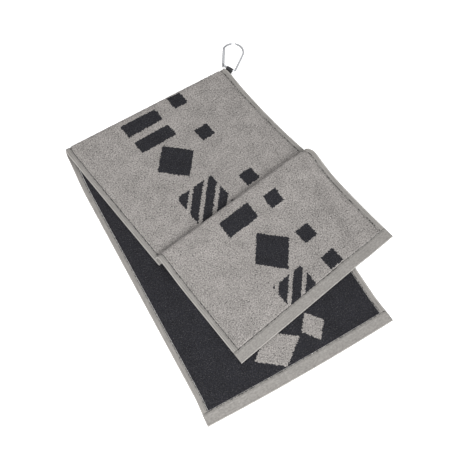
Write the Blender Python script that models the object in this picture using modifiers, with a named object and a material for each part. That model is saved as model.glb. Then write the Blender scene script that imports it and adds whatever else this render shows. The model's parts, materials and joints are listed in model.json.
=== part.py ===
"""Folded golf towel with a hanging loop and a spring-gate carabiner.

The cloth is one long strip. It lies reverse side up from its lower end hem to the main fold, comes back
front side up, and takes a narrow pleat before its last run to the upper end hem. Frame: +Y runs from the
lower end hem to the main fold, +X along that hem, +Z up, in metres. The origin is under the middle.
"""
from math import atan2, ceil, cos, exp, hypot, pi, radians, sin, tan

import bmesh
import bpy
from mathutils import Matrix, Vector

# Cloth, flat sizes
CLOTH_WIDTH = 0.320
CLOTH_THICKNESS = 0.0034
SIDE_HEM_WIDTH = 0.0095
END_HEM_WIDTH = 0.020
HEM_THICKNESS = 0.0020

# Folds: each run is a distance in plan, from edge or crest to the next crest
UNDER_RUN = 0.5295
FIRST_RUN = 0.251
TUCK = 0.0135
LAST_RUN = 0.213
LAYER_GAP = 0.0008
MAIN_FOLD_RADIUS = 0.0036
PLEAT_RADIUS = 0.0029
SETTLE_LENGTH = 0.070
EDGE_DRAPE = 0.030

# Fineness of the meshes
STATION_SPACING = 0.044
COLUMN_SPACING = 0.028
TURN_STEPS = 8
RAMP_STEPS = 7
ROD_RESOLUTION = 5
WIRE_RESOLUTION = 2
ROUND_SIDES = 24
SMALL_SIDES = 16
STRAP_RING_STEPS = 20
CORNER_STEPS = 5
BOW_STEPS = 16
TONGUE_STEPS = 6
WELD_DISTANCE = 0.000001
TURNED_MERGE = 0.00005
SHARP_ANGLE = radians(35)

# How the upper runs lie over the under layer
FOLD_TILT = radians(2.2)
FOLD_SHIFT = 0.004
SHIFT_START = 0.8
FIRST_RUN_ANGLE = radians(9.9)
TURN_TILT = radians(9.7)
LAST_RUN_ANGLE = radians(8.9)
END_TILT = radians(10.8)
TUCK_SHIFT = 0.005
FIRST_DRAW_IN = 0.005
FIRST_SPREAD = 0.0015
LAST_DRAW_IN = 0.003
LAST_SPREAD = 0.0035
FOLD_INSET = 0.002
INSET_REACH = 0.008

# Sewing
SEAM_GAP = 0.0003
FIELD_GAP = 0.0007
THREAD_WIDTH = 0.0008
THREAD_THICKNESS = 0.0004
SEAM_INSET = 0.0020

# Hanging loop
STRAP_WIDTH = 0.0125
STRAP_THICKNESS = 0.0011
STRAP_TAIL = 0.016
STRAP_SLIDE = 0.002
STRAP_SETBACK = 0.00875
BAR_CLEARANCE = 0.0003
TACK_WIDTH = 0.0020
TACK_LENGTH = 0.0083
TACK_SETBACK = 0.0080

# Carabiner
ROD_RADIUS = 0.0018
BAR_LENGTH = 0.025
BAR_CORNER_RADIUS = 0.0034
BOW_RADIUS = 0.0188
BOW_OFFSET = -0.0152
BOW_HEIGHT = 0.0362
NOSE_ANGLE = radians(188)
BAR_OUTSET = 0.0066
BAR_STANDOFF = 0.0007
BAR_ANGLE = radians(-63.5)
BAR_HEIGHT = 0.0062
TABLE_CLEARANCE = 0.0003

# Gate and its spring
GATE_RADIUS = 0.0024
GATE_BORE_RADIUS = 0.0014
GATE_END_GAP = 0.0018
TONGUE_THICKNESS = 0.0018
TONGUE_HALF_WIDTH = 0.00144
FORK_FLOOR_GAP = 0.0011
CLAW_LIP = 0.0015
CLAW_ROOT = 0.0040
CLAW_STEP = 0.0005
SLOT_CLEARANCE = 0.0003
PIN_RADIUS = 0.0008
PIN_SETBACK = 0.0022
RIVET_RADIUS = 0.0009
RIVET_HEAD_RADIUS = 0.0017
RIVET_HEAD_THICKNESS = 0.0005
RIVET_CROWN_RADIUS = 0.0010
RIVET_RIM_THICKNESS = 0.0002
PIN_CLEARANCE = 0.00015
CAM_FLAT = 0.0023
CAM_HALF_WIDTH = 0.0016
PLUNGER_LENGTH = 0.0045
SPRING_LENGTH = 0.0140
SPRING_WIRE_RADIUS = 0.00018
SPRING_TURNS = 6
SPRING_TURN_STEPS = 9

# Values that follow from the sizes above
LAYER_PITCH = CLOTH_THICKNESS + LAYER_GAP
BASE_HEIGHT = CLOTH_THICKNESS / 2
TURN_RADIUS = LAYER_PITCH / 2
HALF_WIDTH = CLOTH_WIDTH / 2
FIRST_FOLD_AT = UNDER_RUN - CLOTH_THICKNESS / 2 - MAIN_FOLD_RADIUS
LOWER_TURN_AT = UNDER_RUN - FIRST_RUN + CLOTH_THICKNESS / 2 + TURN_RADIUS
PLEAT_CREST = UNDER_RUN - FIRST_RUN + TUCK
PLEAT_AT = PLEAT_CREST - CLOTH_THICKNESS / 2 - PLEAT_RADIUS
UPPER_END = PLEAT_CREST - LAST_RUN
PLEAT_HEIGHT = BASE_HEIGHT + 2 * LAYER_PITCH + 2 * PLEAT_RADIUS
THREAD_LIFT = HEM_THICKNESS / 2 + SEAM_GAP + THREAD_THICKNESS / 2


def ease(value):
    """Smooth step from 0 to 1."""
    value = min(1.0, max(0.0, value))
    return value * value * (3 - 2 * value)


def blend(first, second, share):
    """Straight mix of two numbers or vectors."""
    return first * (1 - share) + second * share


def line_piece(start, end, height, upper, last):
    """Flat stretch of the side profile: rows of (distance, height, da, dz, upper share, last share)."""
    way = 1 if end > start else -1
    steps = ceil(abs(end - start) / STATION_SPACING)
    rows = []
    for index in range(steps + 1):
        rows.append((blend(start, end, index / steps), height, way, 0.0, upper, last))
    return rows


def ramp_piece(start, end, high, low, upper, last):
    """Stretch that settles from one height to another along half a cosine wave."""
    rows = []
    for index in range(RAMP_STEPS + 1):
        share = index / RAMP_STEPS
        slope = -(high - low) * pi / 2 * sin(pi * share) / abs(end - start)
        size = hypot(1, slope)
        height = low + (high - low) * (1 + cos(pi * share)) / 2
        rows.append((blend(start, end, share), height, -1 / size, slope / size, upper, last))
    return rows


def turn_piece(centre, low, radius, way, shares):
    """Half turn upwards. way is 1 where it bulges towards the main fold, and -1 away from it."""
    rows = []
    for index in range(TURN_STEPS + 1):
        share = index / TURN_STEPS
        angle = pi * share
        upper = blend(shares[0], shares[1], share)
        last = blend(shares[2], shares[3], share)
        across, rise = way * radius * sin(angle), radius * (1 - cos(angle))
        rows.append((centre + across, low + rise, way * cos(angle), sin(angle), upper, last))
    return rows


def side_profile():
    """The cloth's middle surface seen from the side, with the length run so far as the first value."""
    settled = BASE_HEIGHT + LAYER_PITCH
    tucked = settled + LAYER_PITCH
    fold_top = BASE_HEIGHT + 2 * MAIN_FOLD_RADIUS
    pieces = [
        line_piece(0, FIRST_FOLD_AT, BASE_HEIGHT, 0, 0),
        turn_piece(FIRST_FOLD_AT, BASE_HEIGHT, MAIN_FOLD_RADIUS, 1, (0, 1, 0, 0)),
        ramp_piece(FIRST_FOLD_AT, FIRST_FOLD_AT - SETTLE_LENGTH, fold_top, settled, 1, 0),
        line_piece(FIRST_FOLD_AT - SETTLE_LENGTH, LOWER_TURN_AT, settled, 1, 0),
        turn_piece(LOWER_TURN_AT, settled, TURN_RADIUS, -1, (1, 1, 0, 0)),
        line_piece(LOWER_TURN_AT, PLEAT_AT, tucked, 1, 0),
        turn_piece(PLEAT_AT, tucked, PLEAT_RADIUS, 1, (1, 1, 0, 1)),
        ramp_piece(PLEAT_AT, PLEAT_AT - SETTLE_LENGTH, PLEAT_HEIGHT, settled, 1, 1),
        line_piece(PLEAT_AT - SETTLE_LENGTH, UPPER_END, settled, 1, 1),
    ]
    rows = []
    length = 0.0
    for piece in pieces:
        for row in piece[1:] if rows else piece:
            if rows:
                length += hypot(row[0] - rows[-1][1], row[1] - rows[-1][2])
            rows.append((length,) + row)
    return rows


PROFILE = side_profile()
CLOTH_LENGTH = PROFILE[-1][0]
CREST_RUN = FIRST_FOLD_AT + pi * MAIN_FOLD_RADIUS / 2


def profile_at(run):
    """The profile's row at one length along the cloth, between its stations by straight mixing."""
    for first, second in zip(PROFILE, PROFILE[1:]):
        if run <= second[0]:
            share = (run - first[0]) / (second[0] - first[0])
            return tuple(blend(a, b, share) for a, b in zip(first, second))
    return PROFILE[-1]


def direction(angle):
    """Plan direction of an upper run, away from the main fold, and turned towards +X."""
    return Vector((sin(angle), -cos(angle), 0))


def plan_line(distance, upper, last):
    """Centre of the cloth's line across, its tilt, and the way that distance grows, in plan."""
    along = (distance / UNDER_RUN - SHIFT_START) / (1 - SHIFT_START)
    under_centre = Vector((FOLD_SHIFT * ease(along), distance, 0))
    under_tilt = FOLD_TILT * ease(along)
    back = UNDER_RUN - distance
    crest = Vector((FOLD_SHIFT, UNDER_RUN, 0))
    first_centre = crest + direction(FIRST_RUN_ANGLE) * back
    first_tilt = blend(FOLD_TILT, TURN_TILT, min(1.0, back / FIRST_RUN))
    pleat = crest + direction(FIRST_RUN_ANGLE) * (UNDER_RUN - PLEAT_CREST)
    pleat += Vector((cos(TURN_TILT), sin(TURN_TILT), 0)) * TUCK_SHIFT
    gone = PLEAT_CREST - distance
    last_centre = pleat + direction(LAST_RUN_ANGLE) * gone
    last_tilt = blend(TURN_TILT, END_TILT, min(1.0, max(0.0, gone / LAST_RUN)))
    upper_centre = blend(first_centre, last_centre, last)
    upper_tilt = blend(first_tilt, last_tilt, last)
    upper_way = -blend(direction(FIRST_RUN_ANGLE), direction(LAST_RUN_ANGLE), last)
    centre = blend(under_centre, upper_centre, upper)
    tilt = blend(under_tilt, upper_tilt, upper)
    way = blend(Vector((0, 1, 0)), upper_way, upper).normalized()
    return centre, tilt, way


def width_share(run, distance, across, upper, last):
    """How much of its flat distance from the middle a point keeps: the edges draw in a little."""
    inset = FOLD_INSET * exp(-((run - CREST_RUN) / INSET_REACH) ** 2)
    if across > 0:
        first_bow = sin(pi * min(1.0, (UNDER_RUN - distance) / FIRST_RUN))
        last_bow = sin(pi * min(1.0, max(0.0, (PLEAT_CREST - distance) / LAST_RUN)))
        first_inset = FIRST_DRAW_IN * first_bow - FIRST_SPREAD
        last_inset = LAST_DRAW_IN * last_bow - LAST_SPREAD
        inset += upper * blend(first_inset, last_inset, last)
    return 1 - inset / HALF_WIDTH


def cloth_point(run, across, lift):
    """A point on the folded cloth: run along it, across from the middle, lift on the front side."""
    run, distance, height, forward, rise, upper, last = profile_at(run)
    centre, tilt, way = plan_line(distance, upper, last)
    reach = across * width_share(run, distance, across, upper, last)
    point = centre + Vector((cos(tilt), sin(tilt), 0)) * reach
    size = hypot(forward, rise)
    point += way * (rise / size * lift)
    under_edge = HALF_WIDTH + 2 * FOLD_SHIFT
    drop = LAYER_PITCH * ease((point.x - under_edge) / EDGE_DRAPE)
    drop *= upper * ease((UNDER_RUN - distance) / SETTLE_LENGTH)
    point.z = height - forward / size * lift - drop
    return point


def stations(start, end):
    """Lengths along the cloth from start to end, with every station of the profile between them."""
    inner = [row[0] for row in PROFILE if start + SEAM_GAP < row[0] < end - SEAM_GAP]
    return [start] + inner + [end]


def columns(left, right):
    """Distances across the cloth from left to right, no further apart than COLUMN_SPACING."""
    steps = ceil((right - left) / COLUMN_SPACING)
    return [blend(left, right, index / steps) for index in range(steps + 1)]


def make_collection(name):
    """New collection in the scene."""
    collection = bpy.data.collections.new(name)
    bpy.context.scene.collection.children.link(collection)
    return collection


def make_material(name, colour, roughness, metallic=0.0):
    """Principled material with one colour."""
    material = bpy.data.materials.new(name)
    material.use_nodes = True
    shader = material.node_tree.nodes["Principled BSDF"]
    shader.inputs["Base Color"].default_value = (*colour, 1.0)
    shader.inputs["Roughness"].default_value = roughness
    shader.inputs["Metallic"].default_value = metallic
    return material


def place(obj, collection, material=None, parent=None):
    """Puts an object in a collection, gives it its material and its parent."""
    for owner in list(obj.users_collection):
        owner.objects.unlink(obj)
    collection.objects.link(obj)
    if material:
        obj.data.materials.clear()
        obj.data.materials.append(material)
    obj.parent = parent
    return obj


def ribbon(name, runs, acrosses, thickness, lift, material):
    """Strip of the folded cloth, from a grid whose points are laid on the cloth, then given thickness."""
    mesh = bpy.data.meshes.new(name)
    grid = bmesh.new()
    bmesh.ops.create_grid(grid, x_segments=len(acrosses) - 1, y_segments=len(runs) - 1, size=0.5)
    for vert in grid.verts:
        column = round((vert.co.x + 0.5) * (len(acrosses) - 1))
        row = round((vert.co.y + 0.5) * (len(runs) - 1))
        vert.co = cloth_point(runs[row], acrosses[column], lift)
    grid.to_mesh(mesh)
    grid.free()
    obj = place(bpy.data.objects.new(name, mesh), PARTS, material)
    solid = obj.modifiers.new("thickness", "SOLIDIFY")
    solid.thickness = thickness
    solid.offset = 0
    mesh.shade_smooth()
    mesh.set_sharp_from_angle(angle=SHARP_ANGLE)
    return obj


def as_mesh(obj):
    """Replaces a curve object by a welded mesh object of the same name and place."""
    bpy.context.view_layer.update()
    name, material = obj.name, obj.data.materials[:]
    mesh = bpy.data.meshes.new_from_object(obj.evaluated_get(bpy.context.evaluated_depsgraph_get()))
    solid = bmesh.new()
    solid.from_mesh(mesh)
    bmesh.ops.remove_doubles(solid, verts=solid.verts, dist=WELD_DISTANCE)
    solid.to_mesh(mesh)
    solid.free()
    collection, parent = obj.users_collection[0], obj.parent
    local = obj.matrix_basis.copy()
    bpy.data.objects.remove(obj)
    new = bpy.data.objects.new(name, mesh)
    place(new, collection, material[0] if material else None, parent)
    new.matrix_basis = local
    return new


def tube(name, points, radius, resolution, collection, material, parent=None):
    """Round bar along a list of points, with filled ends."""
    curve = bpy.data.curves.new(name, "CURVE")
    curve.dimensions = "3D"
    curve.bevel_depth = radius
    curve.bevel_resolution = resolution
    curve.use_fill_caps = True
    spline = curve.splines.new("POLY")
    spline.points.add(len(points) - 1)
    for slot, point in zip(spline.points, points):
        slot.co = (*point, 1.0)
    return place(bpy.data.objects.new(name, curve), collection, material, parent)


def plate(name, outlines, thickness, collection, material=None, parent=None):
    """Flat plate in the XY plane, centred on it, from one outline and any holes in it."""
    curve = bpy.data.curves.new(name, "CURVE")
    curve.dimensions = "2D"
    curve.fill_mode = "BOTH"
    curve.extrude = thickness / 2
    for outline in outlines:
        spline = curve.splines.new("POLY")
        spline.points.add(len(outline) - 1)
        spline.use_cyclic_u = True
        for slot, point in zip(spline.points, outline):
            slot.co = (point[0], point[1], 0.0, 1.0)
    return as_mesh(place(bpy.data.objects.new(name, curve), collection, material, parent))


def cylinder(name, radius, length, matrix, collection, material=None, parent=None, sides=ROUND_SIDES):
    """Cylinder along its local Z, centred on the matrix."""
    mesh = bpy.data.meshes.new(name)
    solid = bmesh.new()
    bmesh.ops.create_cone(solid, cap_ends=True, segments=sides, radius1=radius, radius2=radius, depth=length)
    solid.to_mesh(mesh)
    solid.free()
    obj = place(bpy.data.objects.new(name, mesh), collection, material, parent)
    obj.matrix_basis = matrix
    return obj


def block(name, low, high, collection, parent=None):
    """Box between two corners."""
    mesh = bpy.data.meshes.new(name)
    solid = bmesh.new()
    size = Vector(high) - Vector(low)
    bmesh.ops.create_cube(solid, size=1.0, matrix=Matrix.Diagonal((*size, 1.0)))
    solid.to_mesh(mesh)
    solid.free()
    obj = place(bpy.data.objects.new(name, mesh), collection, None, parent)
    obj.matrix_basis = Matrix.Translation((Vector(low) + Vector(high)) / 2)
    return obj


def boolean(obj, tool, operation):
    """Boolean with a tool that is kept as a hidden wire object."""
    tool.hide_render = True
    tool.display_type = "WIRE"
    change = obj.modifiers.new(tool.name, "BOOLEAN")
    change.operation = operation
    change.object = tool
    change.solver = "EXACT"


def arc_points(centre, radius, start, end, steps):
    """Points on an arc in the XY plane."""
    angles = [blend(start, end, index / steps) for index in range(steps + 1)]
    return [Vector((centre[0] + radius * cos(a), centre[1] + radius * sin(a), 0)) for a in angles]


def make_cloth():
    """Terry field, and the flat hems round it."""
    terry = make_material("terry", (0.32, 0.30, 0.29), 0.95)
    hem = make_material("hem", (0.38, 0.37, 0.36), 0.85)
    field_start = END_HEM_WIDTH + FIELD_GAP
    field_runs = stations(field_start, CLOTH_LENGTH - field_start)
    field_edge = HALF_WIDTH - SIDE_HEM_WIDTH - FIELD_GAP
    field_columns = columns(-field_edge, field_edge)
    ribbon("terry_cloth", field_runs, field_columns, CLOTH_THICKNESS, 0, terry)
    side = [HALF_WIDTH - SIDE_HEM_WIDTH, HALF_WIDTH - SIDE_HEM_WIDTH + SEAM_INSET, HALF_WIDTH]
    ribbon("left_side_hem", field_runs, [-edge for edge in reversed(side)], HEM_THICKNESS, 0, hem)
    ribbon("right_side_hem", field_runs, side, HEM_THICKNESS, 0, hem)
    across = columns(-HALF_WIDTH, HALF_WIDTH)
    upper_start = CLOTH_LENGTH - END_HEM_WIDTH
    ribbon("under_end_hem", stations(0, END_HEM_WIDTH), across, HEM_THICKNESS, 0, hem)
    ribbon("upper_end_hem", stations(upper_start, CLOTH_LENGTH), across, HEM_THICKNESS, 0, hem)


def make_threads():
    """Lockstitch rows: a needle thread on the front of each hem and a bobbin thread on its reverse."""
    thread = make_material("thread", (0.55, 0.54, 0.53), 0.7)
    faces = {"needle": THREAD_LIFT, "bobbin": -THREAD_LIFT}
    side_start = END_HEM_WIDTH + FIELD_GAP
    side_runs = stations(side_start, CLOTH_LENGTH - side_start)
    side = HALF_WIDTH - SIDE_HEM_WIDTH + SEAM_INSET
    end_columns = columns(-HALF_WIDTH + SEAM_INSET, HALF_WIDTH - SEAM_INSET)
    row = END_HEM_WIDTH - SEAM_INSET
    half = THREAD_WIDTH / 2
    for face, lift in faces.items():
        for name, centre in (("left", -side), ("right", side)):
            band = [centre - half, centre + half]
            ribbon(f"{name}_{face}_thread", side_runs, band, THREAD_THICKNESS, lift, thread)
        for name, centre in (("under", row), ("upper", CLOTH_LENGTH - row)):
            band = [centre - half, centre + half]
            ribbon(f"{name}_end_{face}_thread", band, end_columns, THREAD_THICKNESS, lift, thread)


def bar_axis_frame():
    """Empty on the carabiner's bar: X along the bar, Y out to the bow, tipped so that the bow lies low."""
    edge = cloth_point(CREST_RUN + STRAP_SETBACK, HALF_WIDTH, 0)
    outward = Vector((-sin(BAR_ANGLE), cos(BAR_ANGLE), 0))
    place_at = edge + outward * BAR_OUTSET + direction(0) * -BAR_STANDOFF
    reach = BOW_HEIGHT + BOW_RADIUS
    tip = atan2(BAR_HEIGHT - ROD_RADIUS - TABLE_CLEARANCE, reach)
    empty = bpy.data.objects.new("carabiner_axis", None)
    place(empty, PARTS)
    place_at.z = BAR_HEIGHT
    empty.matrix_basis = Matrix.Translation(place_at) @ Matrix.Rotation(BAR_ANGLE, 4, "Z")
    empty.matrix_basis = empty.matrix_basis @ Matrix.Rotation(-tip, 4, "X")
    return empty


def make_loop(axis):
    """Webbing strap round the bar, with both its tails sewn between the fold's layers."""
    webbing = make_material("webbing", (0.02, 0.02, 0.02), 0.8)
    inner = ROD_RADIUS + BAR_CLEARANCE
    outer = inner + STRAP_THICKNESS
    tail_low = BASE_HEIGHT + THREAD_LIFT + THREAD_THICKNESS / 2 + SEAM_GAP - BAR_HEIGHT
    tail_high = tail_low + 2 * STRAP_THICKNESS
    low_angle = -pi + atan2(-tail_low, outer)
    high_angle = pi - atan2(max(tail_high, 0.0), outer)
    ring = arc_points((0, 0), outer, low_angle, high_angle, STRAP_RING_STEPS)
    end = -outer - STRAP_TAIL
    outline = ring + [Vector((end, tail_high, 0)), Vector((end, tail_low, 0))]
    hole = arc_points((0, 0), inner, 0, 2 * pi * (1 - 1 / ROUND_SIDES), ROUND_SIDES - 1)
    strap = plate("hanging_loop", [outline, hole], STRAP_WIDTH, PARTS, webbing)
    level = Matrix.Translation(axis.matrix_basis.translation) @ Matrix.Rotation(BAR_ANGLE, 4, "Z")
    side_on = Matrix(((0, 0, 1, STRAP_SLIDE), (1, 0, 0, 0), (0, 1, 0, 0), (0, 0, 0, 1)))
    strap.matrix_basis = level @ side_on
    tack_start = end + TACK_SETBACK
    low = (STRAP_SLIDE - TACK_LENGTH / 2, tack_start - TACK_WIDTH, tail_high + SEAM_GAP)
    high = (STRAP_SLIDE + TACK_LENGTH / 2, tack_start, tail_high + SEAM_GAP + THREAD_THICKNESS)
    tack = block("loop_bar_tack", low, high, PARTS)
    tack.matrix_basis = level @ tack.matrix_basis
    tack.data.materials.append(webbing)


def body_centreline():
    """The bent rod's middle line: along the bar, up the spine and round the bow to the nose."""
    corner = Vector((BAR_LENGTH / 2, 0, 0))
    bow = Vector((BOW_OFFSET, BOW_HEIGHT, 0))
    to_bow = bow - corner
    swing = atan2(to_bow.y, to_bow.x) - atan2(BOW_RADIUS, (to_bow.length ** 2 - BOW_RADIUS ** 2) ** 0.5)
    spine = Vector((cos(swing), sin(swing), 0))
    cut = BAR_CORNER_RADIUS * tan(swing / 2)
    start = Vector((-BAR_LENGTH / 2 + GATE_RADIUS + GATE_END_GAP, 0, 0))
    bend_centre = (corner.x - cut, BAR_CORNER_RADIUS)
    bend = arc_points(bend_centre, BAR_CORNER_RADIUS, -pi / 2, swing - pi / 2, CORNER_STEPS)
    sweep = arc_points(bow, BOW_RADIUS, swing - pi / 2, NOSE_ANGLE, BOW_STEPS)
    middle = [bend[-1] + spine * ((sweep[0] - bend[-1]).length * share / 3) for share in (1, 2)]
    return [start] + bend + middle + sweep


def gate_line():
    """Pivot point, direction of the gate from it, and distance from it to the nose end of the rod."""
    pivot = Vector((-BAR_LENGTH / 2, 0, 0))
    nose = Vector((BOW_OFFSET + BOW_RADIUS * cos(NOSE_ANGLE), BOW_HEIGHT + BOW_RADIUS * sin(NOSE_ANGLE), 0))
    reach = nose - pivot
    return pivot, atan2(reach.y, reach.x), reach.length


def gate_axis_frame(axis):
    """Empty on the gate's pivot: X along the gate, Y away from the carabiner's eye."""
    pivot, angle, _ = gate_line()
    empty = bpy.data.objects.new("gate_axis", None)
    place(empty, PARTS, None, axis)
    empty.matrix_basis = Matrix.Translation(pivot) @ Matrix.Rotation(angle, 4, "Z")
    return empty


def tongue_outline():
    """Flat end of the bar that the gate's ears turn on, with a flat facing the plunger."""
    pivot, angle, _ = gate_line()
    turn = Matrix.Rotation(angle, 4, "Z")
    flat = [pivot + turn @ Vector((CAM_FLAT, side * CAM_HALF_WIDTH, 0)) for side in (1, -1)]
    root = -BAR_LENGTH / 2 + GATE_RADIUS + GATE_END_GAP + ROD_RADIUS
    half = TONGUE_HALF_WIDTH
    back = arc_points(pivot, GATE_RADIUS - SLOT_CLEARANCE, -pi / 2, angle + pi / 2 - 2 * pi, TONGUE_STEPS)
    return [Vector((root, half, 0)), Vector((root, -half, 0))] + back + flat


def hook_outline():
    """Claw on the nose: it reaches past the latch pin on the outside and turns in under it."""
    pin = pin_distance()
    room = PIN_RADIUS + SLOT_CLEARANCE
    lip = room + CLAW_LIP
    outside = GATE_RADIUS - CLAW_STEP
    root = pin + room + CLAW_ROOT
    return [
        (root, outside), (pin - lip, outside), (pin - lip, -room), (pin - room, -room),
        (pin - room, room), (pin + room, room), (pin + room, -outside), (root, -outside),
    ]


def gate_end():
    """Distance from the pivot to the gate's free end."""
    return gate_line()[2] - GATE_END_GAP


def pin_distance():
    """Distance from the pivot to the latch pin."""
    return gate_end() - PIN_SETBACK


def make_body(axis, gate_axis):
    """Bent rod with a drilled tongue at the pivot and a claw at the nose."""
    steel = make_material("polished_metal", (0.72, 0.73, 0.74), 0.25, 1.0)
    body = as_mesh(tube("carabiner_body", body_centreline(), ROD_RADIUS, ROD_RESOLUTION, PARTS, steel, axis))
    tongue = plate("tongue_blank", [tongue_outline()], TONGUE_THICKNESS, CUTTERS, None, axis)
    hook = plate("claw_blank", [hook_outline()], TONGUE_THICKNESS, CUTTERS, None, gate_axis)
    pivot = gate_line()[0]
    hole_radius = RIVET_RADIUS + PIN_CLEARANCE
    hole_at = Matrix.Translation(pivot)
    hole = cylinder("tongue_hole", hole_radius, 4 * GATE_RADIUS, hole_at, CUTTERS, None, axis)
    boolean(body, tongue, "UNION")
    boolean(body, hook, "UNION")
    boolean(body, hole, "DIFFERENCE")
    body.data.shade_smooth()
    body.data.set_sharp_from_angle(angle=SHARP_ANGLE)
    return steel


def make_gate(gate_axis, steel):
    """Bored gate tube, forked at the pivot and slotted at its free end, with its rivet and latch pin."""
    start, end = -GATE_RADIUS, gate_end()
    lengthwise = Matrix.Rotation(pi / 2, 4, "Y")
    middle = Matrix.Translation(((start + end) / 2, 0, 0)) @ lengthwise
    gate = cylinder("carabiner_gate", GATE_RADIUS, end - start, middle, PARTS, steel, gate_axis)
    slot = TONGUE_THICKNESS / 2 + SLOT_CLEARANCE
    wide = 2 * GATE_RADIUS
    fork_floor = CAM_FLAT + FORK_FLOOR_GAP
    fork = block("fork_slot", (-wide, -wide, -slot), (fork_floor, wide, slot), CUTTERS, gate_axis)
    latch_floor = pin_distance() - PIN_RADIUS - CLAW_LIP - 3 * SLOT_CLEARANCE
    latch = block("latch_slot", (latch_floor, -wide, -slot), (end + wide, wide, slot), CUTTERS, gate_axis)
    bore_end = CAM_FLAT + SLOT_CLEARANCE + PLUNGER_LENGTH + SPRING_LENGTH + 2 * SEAM_GAP
    bore_at = Matrix.Translation((bore_end / 2, 0, 0)) @ lengthwise
    bore = cylinder("gate_bore", GATE_BORE_RADIUS, bore_end, bore_at, CUTTERS, None, gate_axis, SMALL_SIDES)
    hole_radius = RIVET_RADIUS + PIN_CLEARANCE
    rivet_hole = cylinder("rivet_hole", hole_radius, 2 * wide, Matrix(), CUTTERS, None, gate_axis)
    pin_at = Matrix.Translation((pin_distance(), 0, 0))
    pin_hole = cylinder("pin_hole", PIN_RADIUS + PIN_CLEARANCE, 2 * wide, pin_at, CUTTERS, None, gate_axis)
    for tool in (fork, latch, bore, rivet_hole, pin_hole):
        boolean(gate, tool, "DIFFERENCE")
    pin_length = 2 * GATE_RADIUS - SEAM_GAP
    cylinder("gate_latch_pin", PIN_RADIUS, pin_length, pin_at, PARTS, steel, gate_axis, SMALL_SIDES)
    make_rivet(gate_axis, steel)


def make_rivet(gate_axis, steel):
    """Domed pivot rivet, turned from its half profile."""
    head = GATE_RADIUS + PIN_CLEARANCE
    top = head + RIVET_HEAD_THICKNESS
    profile = [
        (0, top), (RIVET_CROWN_RADIUS, top), (RIVET_HEAD_RADIUS, head + RIVET_RIM_THICKNESS),
        (RIVET_HEAD_RADIUS, head), (RIVET_RADIUS, head), (RIVET_RADIUS, -head), (RIVET_HEAD_RADIUS, -head),
        (RIVET_HEAD_RADIUS, -head - RIVET_RIM_THICKNESS), (RIVET_CROWN_RADIUS, -top), (0, -top),
    ]
    mesh = bpy.data.meshes.new("gate_pivot_rivet")
    edges = [(index, index + 1) for index in range(len(profile) - 1)]
    mesh.from_pydata([(x, 0, z) for x, z in profile], edges, [])
    rivet = place(bpy.data.objects.new("gate_pivot_rivet", mesh), PARTS, steel, gate_axis)
    turned = rivet.modifiers.new("turned", "SCREW")
    turned.steps = ROUND_SIDES
    turned.render_steps = ROUND_SIDES
    turned.use_merge_vertices = True
    turned.merge_threshold = TURNED_MERGE


def make_spring(gate_axis, steel):
    """Coil spring in the gate's bore, and the plunger that it presses on the tongue's flat."""
    lengthwise = Matrix.Rotation(pi / 2, 4, "Y")
    tip = CAM_FLAT + SLOT_CLEARANCE
    plunger_at = Matrix.Translation((tip + PLUNGER_LENGTH / 2, 0, 0)) @ lengthwise
    plunger_radius = GATE_BORE_RADIUS - SLOT_CLEARANCE
    cylinder(
        "spring_plunger", plunger_radius, PLUNGER_LENGTH, plunger_at, PARTS, steel, gate_axis, SMALL_SIDES
    )
    coil_radius = GATE_BORE_RADIUS - SLOT_CLEARANCE - SPRING_WIRE_RADIUS
    coil_start = tip + PLUNGER_LENGTH + SEAM_GAP + SPRING_WIRE_RADIUS
    coil_end = tip + PLUNGER_LENGTH + SPRING_LENGTH - SPRING_WIRE_RADIUS
    per_turn = SPRING_TURN_STEPS
    points = []
    for index in range(SPRING_TURNS * per_turn + 1):
        share = index / (SPRING_TURNS * per_turn)
        angle = 2 * pi * index / per_turn
        along = blend(coil_start, coil_end, share)
        points.append((along, coil_radius * cos(angle), coil_radius * sin(angle)))
    tube("gate_spring", points, SPRING_WIRE_RADIUS, WIRE_RESOLUTION, PARTS, steel, gate_axis)


def centre_on_origin():
    """Moves everything so that the parts' bounding box stands centred on the origin."""
    bpy.context.view_layer.update()
    graph = bpy.context.evaluated_depsgraph_get()
    corners = []
    for obj in PARTS.objects:
        if obj.type == "EMPTY":
            continue
        mesh = obj.evaluated_get(graph).to_mesh()
        corners += [obj.matrix_world @ vert.co for vert in mesh.vertices]
    low = Vector([min(corner[axis] for corner in corners) for axis in range(3)])
    high = Vector([max(corner[axis] for corner in corners) for axis in range(3)])
    shift = Vector(((low.x + high.x) / 2, (low.y + high.y) / 2, low.z))
    for obj in PARTS.objects:
        if obj.parent is None:
            obj.location -= shift


for stale in list(bpy.data.objects):
    bpy.data.objects.remove(stale)
PARTS = make_collection("golf_towel")
CUTTERS = make_collection("cutters")
make_cloth()
make_threads()
CARABINER_AXIS = bar_axis_frame()
GATE_AXIS = gate_axis_frame(CARABINER_AXIS)
make_loop(CARABINER_AXIS)
STEEL = make_body(CARABINER_AXIS, GATE_AXIS)
make_gate(GATE_AXIS, STEEL)
make_spring(GATE_AXIS, STEEL)
centre_on_origin()
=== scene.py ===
"""Folded golf towel: terry cloth with a woven block pattern, flat hems, a webbing loop and a carabiner."""
import json

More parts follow.
